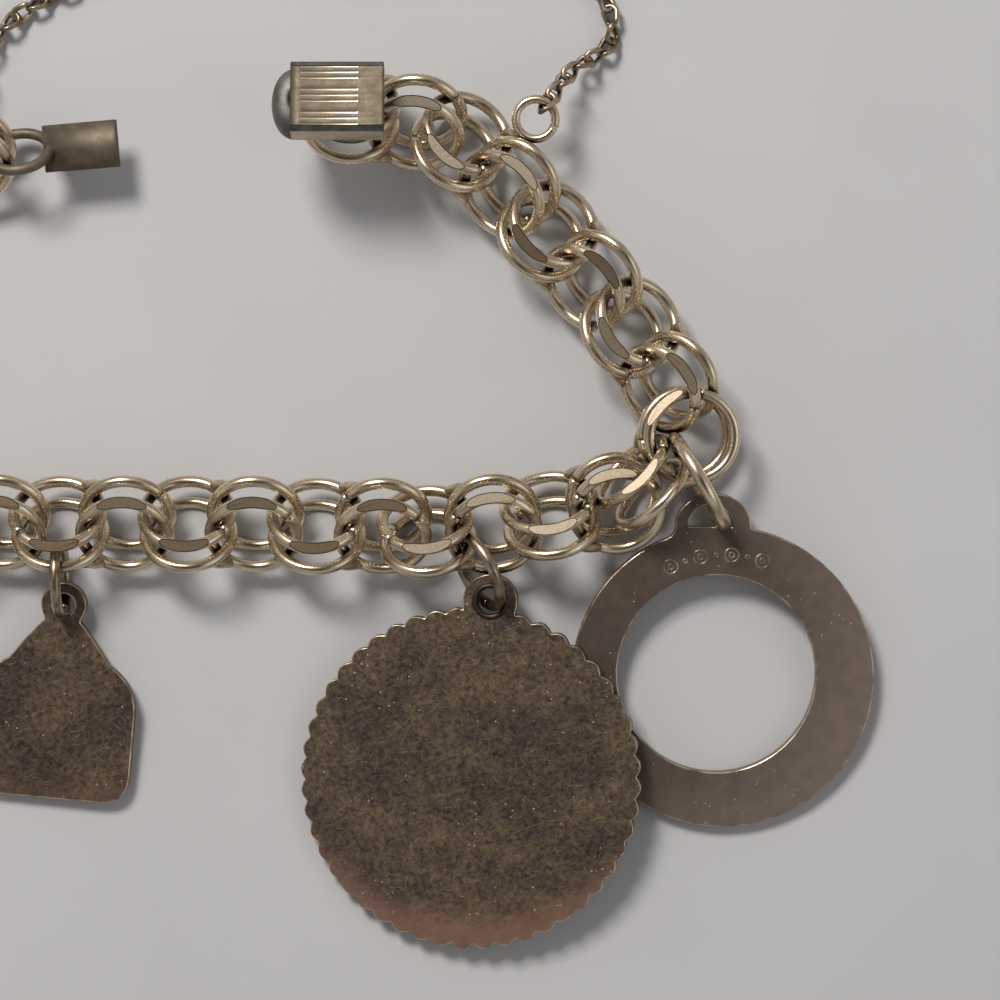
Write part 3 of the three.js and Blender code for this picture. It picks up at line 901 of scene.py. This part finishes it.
def wear_and_sheen_mask(tree, vector, middle, radius, softness):
    gap = tree.nodes.new("ShaderNodeVectorMath")
    gap.operation = "DISTANCE"
    gap.inputs[1].default_value = middle
    tree.links.new(vector, gap.inputs[0])
    reach = tree.nodes.new("ShaderNodeMapRange")
    reach.interpolation_type = "SMOOTHSTEP"
    reach.inputs["From Min"].default_value = radius * MM
    reach.inputs["From Max"].default_value = (radius + softness) * MM
    tree.links.new(gap.outputs["Value"], reach.inputs["Value"])
    return reach.outputs["Result"]


def nick_dots(tree, vector):
    cells = tree.nodes.new("ShaderNodeTexVoronoi")
    cells.inputs["Scale"].default_value = NICK_SCALE
    tree.links.new(vector, cells.inputs["Vector"])
    dots = ramp(tree, cells.outputs["Distance"], [(0.09, (1,)), (0.14, (0,))])
    where = ramp(tree, cloud(tree, vector, 300, 2), [(0.52, (0,)), (0.58, (1,))])
    return blend_colours(tree, 1.0, dots, where, "MULTIPLY")


def patina_finish(name, tones, grain, wear_and_sheen, hair, hair_strength, sheen):
    material, tree, shader = new_finish(name)
    vector = coordinates(tree)
    broad = ramp(tree, cloud(tree, vector, 170, 5, 0.62), tones)
    speck = ramp(tree, cloud(tree, vector, 2600, 6, 0.8), [(0.32, (1 - grain,)), (0.7, (1 + grain,))])
    colour = blend_colours(tree, 1.0, broad, speck, "MULTIPLY")
    # A soft-edged circle gives bare copper on the disc and tag, and a painted reflection on the washer.
    part = wear_and_sheen_mask(tree, vector, wear_and_sheen["middle"], wear_and_sheen["radius"], wear_and_sheen["softness"])
    colour = blend_colours(tree, faded(tree, part, wear_and_sheen["strength"]), colour, wear_and_sheen["colour"])
    for turn, shift, start in HAIRS:
        marks = faded(tree, scratches(tree, turn, shift, start), hair_strength)
        colour = blend_colours(tree, marks, colour, hair)
    colour = blend_colours(tree, nick_dots(tree, vector), colour, NICK_COLOUR)
    tree.links.new(colour, shader.inputs["Base Color"])
    shader.inputs["Metallic"].default_value = 0.62
    rough = ramp(tree, cloud(tree, vector, 900, 4), [(0.3, (sheen,)), (0.7, (sheen + 0.12,))])
    tree.links.new(rough, shader.inputs["Roughness"])
    dents(tree, shader, cloud(tree, coordinates(tree, GRAIN_STRETCH, GRAIN_TURN), 1.0, 3), 0.1)
    return material


edge_bright = metal_finish(
    "edge_bright", light=(0.72, 0.61, 0.46), deep=(0.26, 0.2, 0.14), dirt_and_shade=(0.1, 0.08, 0.06),
    rough=(0.3, 0.42), corners=(0.2, 0.5), patch=900, dent=0.05,
)
eyelet_dark = metal_finish(
    "eyelet_dark", light=(0.09, 0.07, 0.055), deep=(0.05, 0.038, 0.03), dirt_and_shade=(0.02, 0.015, 0.01),
    rough=(0.38, 0.5), corners=(0.3, 0.9), patch=900,
)

# %% [markdown]
# The copper has to lie low on the disc whatever its tilt, so the place of the disc comes first and
# the patina is told where that is.

# %% Place and finish of the disc
DISC_RADIUS = 12.5
SCALLOPS = 48
SCALLOP_RISE = 0.36
SCALLOP_POINTS = 10
DISC_THICKNESS = 1.1
DISC_EDGE = 0.08
LUG_RADIUS = 2.05
LUG_HOLE = 1.0
LUG_REACH = 13.4
DISC_TURN = -6.6
disc_place = charm_place("disc_charm", DISC_TURN)
disc_middle = disc_place.translation
print("disc middle in mm:", [round(v / MM, 2) for v in disc_middle])

dark_tones = [
    (0.32, (0.085, 0.058, 0.052)),
    (0.46, (0.115, 0.08, 0.06)),
    (0.58, (0.18, 0.125, 0.075)),
    (0.7, (0.12, 0.084, 0.06)),
]
DARK_GRAIN = 0.85
DARK_SHEEN = 0.42
DARK_HAIR = (0.4, 0.3, 0.2)
DARK_HAIR_STRENGTH = 0.42
disc_copper = {
    "colour": (0.36, 0.2, 0.14), "middle": disc_middle + Vector((0.2, 4.8, 0)) * MM,
    "radius": 14.2, "softness": 2.6, "strength": 0.75,
}
disc_patina = patina_finish(
    "disc_patina", dark_tones, DARK_GRAIN, disc_copper, DARK_HAIR, DARK_HAIR_STRENGTH, DARK_SHEEN
)

# %% [markdown]
# Plates are cut as a jeweller cuts them: draw the outline and the holes, saw them out of sheet, then
# break the sharp edges. Every loop becomes six rows of points, three for each rounded edge, and the
# faces between the loops are filled flat. The upper edge takes the second finish, which is rubbed
# bright. Booleans with a bevel left streaks on such thin metal.

# %% Sawing plates with broken edges
EDGE_STEPS = 3
WALL_CREASE = math.radians(50)
BEND_STEPS = 7


def moved_inward(loop, distance):
    moved = []
    for k, (x, y) in enumerate(loop):
        before, after = loop[k - 1], loop[(k + 1) % len(loop)]
        step_x, step_y = after[0] - before[0], after[1] - before[1]
        length = math.hypot(step_x, step_y)
        moved.append((x - step_y / length * distance, y + step_x / length * distance))
    return moved


def edge_rows(bm, loop, thickness, edge):
    levels = []
    for step in range(EDGE_STEPS):
        angle = math.pi / 2 * step / (EDGE_STEPS - 1)
        levels.append((edge * (1 - math.sin(angle)), thickness - edge * (1 - math.cos(angle))))
    levels += [(inset, thickness - height) for inset, height in reversed(levels)]
    rows = []
    for inset, height in levels:
        rows.append([bm.verts.new((x, y, height)) for x, y in moved_inward(loop, inset)])
    for number, (here, below) in enumerate(zip(rows, rows[1:])):
        for k in range(len(loop)):
            after = (k + 1) % len(loop)
            face = bm.faces.new((here[k], here[after], below[after], below[k]))
            face.material_index = 1 if number < EDGE_STEPS - 1 else 0
    return rows[0], rows[-1]


def loop_edges(bm, row):
    return [bm.edges.get((row[k], row[(k + 1) % len(row)])) for k in range(len(row))]


def sawn_plate(outline, holes, thickness, edge):
    bm = bmesh.new()
    loops = [outline] + [list(reversed(hole)) for hole in holes]
    ends = [edge_rows(bm, loop, thickness, edge) for loop in loops]
    for rows in zip(*ends):
        rims = [rim for row in rows for rim in loop_edges(bm, row)]
        bmesh.ops.triangle_fill(bm, edges=rims, use_beauty=True)
        for rim in rims:
            rim.smooth = False
    for wall in bm.edges:
        wall.smooth = wall.smooth and wall.calc_face_angle(0) < WALL_CREASE
    return bm


def bend_between(start, pull, end):
    points = []
    for i in range(BEND_STEPS):
        t = i / BEND_STEPS
        x = (1 - t) ** 2 * start[0] + 2 * t * (1 - t) * pull[0] + t**2 * end[0]
        y = (1 - t) ** 2 * start[1] + 2 * t * (1 - t) * pull[1] + t**2 * end[1]
        points.append((x, y))
    return points


def round_outline(radius, count, middle=(0, 0)):
    turns = [2 * math.pi * i / count for i in range(count)]
    return [(middle[0] + radius * math.cos(t), middle[1] + radius * math.sin(t)) for t in turns]


# %% [markdown]
# The edge of the disc is a ring of half waves. Its lug is a smaller circle: only the part of it
# outside the scallops is kept, and only the scallops outside it, so one outline goes round both. A
# worn rim is swept round the hole, as the jeweller's eyelet stands a little proud.

# %% The disc charm
LUG_POINTS = 64
LUG_GAP = 0.05
HOLE_POINTS = 32
EYELET_OFFSET = 0.17
EYELET_WIRE = 0.2
EYELET_FLATNESS = 0.8


def scalloped_outline():
    outline = []
    for i in range(SCALLOPS * SCALLOP_POINTS):
        angle = 2 * math.pi * i / (SCALLOPS * SCALLOP_POINTS)
        radius = DISC_RADIUS + SCALLOP_RISE * abs(math.sin(SCALLOPS / 2 * angle))
        outline.append((radius * math.cos(angle), radius * math.sin(angle)))
    return outline


def with_round_lug(outline, radius, reach, rim_radius):
    from_below = LUG_POINTS * 3 // 4
    lug = round_outline(radius, LUG_POINTS, (0, reach))
    lug = [point for point in lug[from_below:] + lug[:from_below] if math.hypot(*point) > rim_radius]
    clear = [math.hypot(x, y - reach) > radius + LUG_GAP for x, y in outline]
    first, last = clear.index(False), len(clear) - 1 - clear[::-1].index(False)
    return outline[:first] + lug + outline[last + 1 :]


lug_hole = round_outline(LUG_HOLE, HOLE_POINTS, (0, LUG_REACH))
disc_outline = with_round_lug(scalloped_outline(), LUG_RADIUS, LUG_REACH, DISC_RADIUS + SCALLOP_RISE)
disc_bm = sawn_plate(disc_outline, [lug_hole], DISC_THICKNESS, DISC_EDGE)
finish_piece("disc_plate", disc_bm, disc_place, [disc_patina, edge_bright], ["disc_charm"])
bm = bmesh.new()
rim_place = Matrix.Translation((0, LUG_REACH, DISC_THICKNESS)) @ Matrix.Diagonal((1, 1, EYELET_FLATNESS, 1))
add_ring(bm, LUG_HOLE + EYELET_OFFSET, EYELET_WIRE, rim_place, 40)
finish_piece("disc_eyelet", bm, disc_place, [eyelet_dark])
print("disc sawn, points in its outline:", len(disc_outline))

# %% [markdown]
# The ring charm is a flat washer with a lug whose eye is a half round. Its face is smoother than
# the disc's and browner, with a painted reflection that makes it paler towards the lower right, and
# its edges are rubbed bright.

# %% Place and finish of the ring charm
WASHER_RADIUS = 11.36
WASHER_HOLE = 7.47
WASHER_HOLE_SHIFT = 0.5
WASHER_THICKNESS = 1.0
WASHER_EDGE = 0.09
WASHER_LUG = (2.85, 2.5)
WASHER_LUG_SHIFT = -0.9
WASHER_EYE = 1.66
WASHER_EYE_SHIFT = -1.1
WASHER_TURN = -0.5
washer_place = charm_place("ring_charm", WASHER_TURN)
washer_tones = [
    (0.3, (0.16, 0.12, 0.096)),
    (0.55, (0.185, 0.14, 0.11)),
    (0.72, (0.165, 0.123, 0.097)),
]
# The paler lower right is a painted reflection: the face turns paler away from a soft circle on the upper
# left.
washer_sheen = {
    "colour": (0.4, 0.3, 0.245), "middle": washer_place.translation + Vector((-8.0, 4.0, 0)) * MM,
    "radius": 10.0, "softness": 11.0, "strength": 0.75,
}
WASHER_GRAIN = 0.12
WASHER_HAIR = (0.3, 0.23, 0.17)
WASHER_HAIR_STRENGTH = 0.16
WASHER_SHEEN = 0.36
washer_patina = patina_finish(
    "washer_patina", washer_tones, WASHER_GRAIN, washer_sheen, WASHER_HAIR, WASHER_HAIR_STRENGTH, WASHER_SHEEN
)
print("ring charm in mm:", [round(v / MM, 1) for v in washer_place.translation])

# %% [markdown]
# The outline runs once round: up the right of the rim, through a small bend into the arch of the
# lug, down the other side and on. The bends end on the circle itself, so nothing sticks out of it.

# %% The ring charm
RIM_POINTS = 192
WASHER_HOLE_POINTS = 144
ARCH_STEPS = 32
EYE_STEPS = 20
FOOT_SPREAD = 1.0
FOOT_GAP = 0.1
LEFT_PULL = 0.25
RIGHT_PULL = 0.15


def round_foot(x):
    return (x, math.sqrt(WASHER_RADIUS**2 - x**2))


def half_round(middle_x, width, height, count):
    turns = [math.pi * i / count for i in range(count + 1)]
    return [(middle_x + width * math.cos(t), WASHER_RADIUS + height * math.sin(t)) for t in turns]


def washer_outline():
    width, height = WASHER_LUG
    arch = half_round(WASHER_LUG_SHIFT, width, height, ARCH_STEPS)
    left_foot = round_foot(WASHER_LUG_SHIFT - width - FOOT_SPREAD)
    right_foot = round_foot(WASHER_LUG_SHIFT + width + FOOT_SPREAD)
    left_bend = bend_between(arch[-1], (arch[-1][0], left_foot[1] + LEFT_PULL), left_foot)
    right_bend = bend_between(right_foot, (arch[0][0], right_foot[1] + RIGHT_PULL), arch[0])
    rim = round_outline(WASHER_RADIUS, RIM_POINTS)
    upper = rim[: RIM_POINTS // 2]
    right_rim = [(x, y) for x, y in upper if x > right_foot[0] + FOOT_GAP]
    left_rim = [(x, y) for x, y in upper if x < left_foot[0] - FOOT_GAP]
    lower = rim[RIM_POINTS // 2 :]
    return right_rim + right_bend + arch + left_bend[1:] + [left_foot] + left_rim + lower


hole_middle = (-WASHER_HOLE_SHIFT, WASHER_HOLE_SHIFT / 2)
hole = round_outline(WASHER_HOLE, WASHER_HOLE_POINTS, hole_middle)
eye = half_round(WASHER_EYE_SHIFT, WASHER_EYE, WASHER_EYE, EYE_STEPS)
washer_bm = sawn_plate(washer_outline(), [hole, eye], WASHER_THICKNESS, WASHER_EDGE)
washer_finishes = [washer_patina, edge_bright]
finish_piece("washer_plate", washer_bm, washer_place, washer_finishes, ["ring_charm"])

# %% [markdown]
# A row of stamped circles and dots decorates the face above the hole. Each is a very thin ring of
# wire, pressed flat, because a raised line this fine is lost when it is only a bump.

# %% Stamped circles and dots
STAMP_RADIUS = 9.25
STAMP_FLATNESS = 0.4
FIRST_STAMP = 116
STAMP_STEP = 7.3
circle_rings = [(0.52, 0.055, 32), (0.2, 0.045, 20)]
dot_rings = [(0.14, 0.05, 20)]
stamp_angles = [FIRST_STAMP - STAMP_STEP * step for step in range(7)]
bm = bmesh.new()
for number, degrees in enumerate(stamp_angles):
    angle = math.radians(degrees)
    stamp_x, stamp_y = STAMP_RADIUS * math.cos(angle), STAMP_RADIUS * math.sin(angle)
    spot = Matrix.Translation((stamp_x, stamp_y, WASHER_THICKNESS))
    for radius, wire, around in dot_rings if number % 2 else circle_rings:
        add_ring(bm, radius, wire, spot @ Matrix.Diagonal((1, 1, STAMP_FLATNESS, 1)), around)
finish_piece("washer_stamps", bm, washer_place, [edge_bright])
print("ring charm sawn, stamps:", len(stamp_angles))

# %% [markdown]
# Three jump rings hang the charms. Each is a bent wire with its seam low on one side, where it
# doesn't catch. The rings of the disc and the tag have gone darker than the one on the corner.

# %% Jump rings
JUMP_SEAM = 0.03
JUMP_SEAM_TURN = 205
JUMP_STATIONS = 72
jump_rings = {
    "disc_jump_ring": ("disc_link", 2.9, 0.41, dark_wire, "tarnished_gold"),
    "ring_jump_ring": ("corner_link", 3.65, 0.5, chain_gold, "chain_gold"),
    "tag_jump_ring": ("tag_link", 2.6, 0.4, dark_wire, "tarnished_gold"),
}
for node, (name, radius, wire, metal, slot) in jump_rings.items():
    bm = bmesh.new()
    add_ring(bm, radius, wire, around=JUMP_STATIONS, seam=JUMP_SEAM, seam_at=JUMP_SEAM_TURN)
    finish_piece(name, bm, ring_place(node), [metal], [node])
print("jump rings:", len(jump_rings))

# %% [markdown]
# The third charm is a plain rounded tag, of which the photo shows only an edge. Its outline is
# drawn from a few curves, like the source's, and it carries the disc's dark finish.

# %% The tag charm
TAG_WIDTH = 12.0
TAG_HEIGHT = 13.5
TAG_SHOULDER = 4.4
TAG_THICKNESS = 1.0
TAG_EDGE = 0.09
TAG_CORNER = 2.2
TAG_LUG = 1.7
TAG_LUG_RISE = 0.7
TAG_HOLE = 0.85
TAG_HOLE_POINTS = 28
TAG_TURN = -5.2
NECK_START = 0.7
NECK_PULL = (1.5, 0.3)
NECK_END = 0.8
LUG_ARC_START = -0.58
LUG_ARC_STEPS = 28


def tag_outline():
    half = TAG_WIDTH / 2
    corner = half - TAG_CORNER
    low_side = (half, -TAG_HEIGHT + TAG_CORNER)
    low_turn = bend_between((corner, -TAG_HEIGHT), (half, -TAG_HEIGHT), low_side)
    side_end = (half, -TAG_SHOULDER - TAG_CORNER)
    shoulder_end = (corner, -TAG_SHOULDER * NECK_START)
    high_turn = [low_side] + bend_between(side_end, (half, -TAG_SHOULDER), shoulder_end)
    neck_pull = (TAG_LUG * NECK_PULL[0], -TAG_SHOULDER * NECK_PULL[1])
    neck_end = (TAG_LUG * NECK_END, 0)
    right = low_turn + high_turn + bend_between(shoulder_end, neck_pull, neck_end) + [neck_end]
    lug = []
    for i in range(LUG_ARC_STEPS + 1):
        angle = LUG_ARC_START + (math.pi - 2 * LUG_ARC_START) * i / LUG_ARC_STEPS
        lug.append((TAG_LUG * math.cos(angle), TAG_LUG * (TAG_LUG_RISE + math.sin(angle))))
    return right + lug + [(-x, y) for x, y in reversed(right)]


tag_place = charm_place("tag_charm", TAG_TURN, rise=TAG_HEIGHT)
tag_eye = round_outline(TAG_HOLE, TAG_HOLE_POINTS, (0, TAG_LUG * TAG_LUG_RISE))
tag_bm = sawn_plate(tag_outline(), [tag_eye], TAG_THICKNESS, TAG_EDGE)
tag_copper = {
    "colour": (0.33, 0.175, 0.12), "middle": tag_place.translation + Vector((0, 6, 0)) * MM,
    "radius": 17.0, "softness": 4.0, "strength": 0.4,
}
tag_patina = patina_finish(
    "tag_patina", dark_tones, DARK_GRAIN, tag_copper, DARK_HAIR, DARK_HAIR_STRENGTH, DARK_SHEEN
)
finish_piece("tag_plate", tag_bm, tag_place, [tag_patina, edge_bright], ["tag_charm"])
print("tag placed at, in mm:", [round(v / MM, 1) for v in tag_place.translation])

# %% [markdown]
# The table is a plain pale sheet, a hair below the part so that the two never share a surface. Very
# weak clouds keep it from looking like an empty background.

# %% Table
TABLE_HALF = 0.6
TABLE_DROP = 0.00002
bm = bmesh.new()
bmesh.ops.create_grid(bm, x_segments=1, y_segments=1, size=TABLE_HALF)
table_mesh = bpy.data.meshes.new("table")
bm.to_mesh(table_mesh)
bm.free()
table = bpy.data.objects.new("table", table_mesh)
table.location = (0, 0, -TABLE_DROP)
bpy.context.scene.collection.objects.link(table)
table_paint, tree, shader = new_finish("table_paint")
shade = cloud(tree, coordinates(tree), 60, 3)
pale = ramp(tree, shade, [(0.3, (0.62, 0.612, 0.61)), (0.7, (0.645, 0.637, 0.635))])
tree.links.new(pale, shader.inputs["Base Color"])
shader.inputs["Roughness"].default_value = 0.6
table_mesh.materials.append(table_paint)

# %% [markdown]
# The light is a soft window high on the upper left, with a weak fill on the right and a pale room
# all round, so that the wires have a bright side and a brown one and the shadows fall down and to
# the right. The room is darkest overhead, because a flat disc under a white sky would only mirror
# the sky and hide its patina.

# %% Light
VIEW_FROM_DISC = (2.13, 20.84, 0)
ROOM_STRENGTH = 0.47
room_tones = [
    (0.0, (0.3, 0.29, 0.28)),
    (0.28, (0.6, 0.59, 0.58)),
    (0.55, (1.0, 0.99, 0.98)),
    (0.8, (0.42, 0.42, 0.43)),
    (0.94, (0.06, 0.06, 0.06)),
]
view_middle = disc_middle + Vector(VIEW_FROM_DISC) * MM
view_middle.z = 0


def add_window(name, direction, distance, size, power, colour):
    data = bpy.data.lights.new(name, "AREA")
    data.size = size
    data.energy = power
    data.color = colour
    lamp = bpy.data.objects.new(name, data)
    lamp.location = view_middle + Vector(direction).normalized() * distance
    lamp.rotation_euler = (view_middle - lamp.location).to_track_quat("-Z", "Y").to_euler()
    bpy.context.scene.collection.objects.link(lamp)


add_window("window", (-0.42, 0.72, 0.95), distance=0.6, size=0.16, power=2.4, colour=(1.0, 0.98, 0.95))
add_window("fill", (0.8, -0.1, 0.8), distance=0.8, size=0.5, power=0.5, colour=(0.95, 0.97, 1.0))

world = bpy.data.worlds.new("room")
world.use_nodes = True
room = world.node_tree
look = room.nodes.new("ShaderNodeTexCoord")
split = room.nodes.new("ShaderNodeSeparateXYZ")
room.links.new(look.outputs["Generated"], split.inputs["Vector"])
room.links.new(ramp(room, split.outputs["Z"], room_tones), room.nodes["Background"].inputs["Color"])
room.nodes["Background"].inputs["Strength"].default_value = ROOM_STRENGTH
bpy.context.scene.world = world
print("middle of the view in mm:", [round(v / MM, 2) for v in view_middle])

# %% [markdown]
# The photo looks straight down, and 26 cm over the table is the height that fits it best. The
# camera stands there, over a point that is counted from the middle of the disc. A longer lens from
# higher up would show less of the rings' sides.

# %% Camera
CAMERA_HEIGHT = 0.26
VIEW_WIDTH = 0.07576
NEAREST = 0.01
camera_data = bpy.data.cameras.new("camera")
camera_data.angle = 2 * math.atan(VIEW_WIDTH / 2 / CAMERA_HEIGHT)
camera_data.clip_start = NEAREST
camera = bpy.data.objects.new("camera", camera_data)
camera.location = view_middle + Vector((0, 0, CAMERA_HEIGHT))
bpy.context.scene.collection.objects.link(camera)
bpy.context.scene.camera = camera
bpy.context.scene.view_settings.view_transform = "Standard"
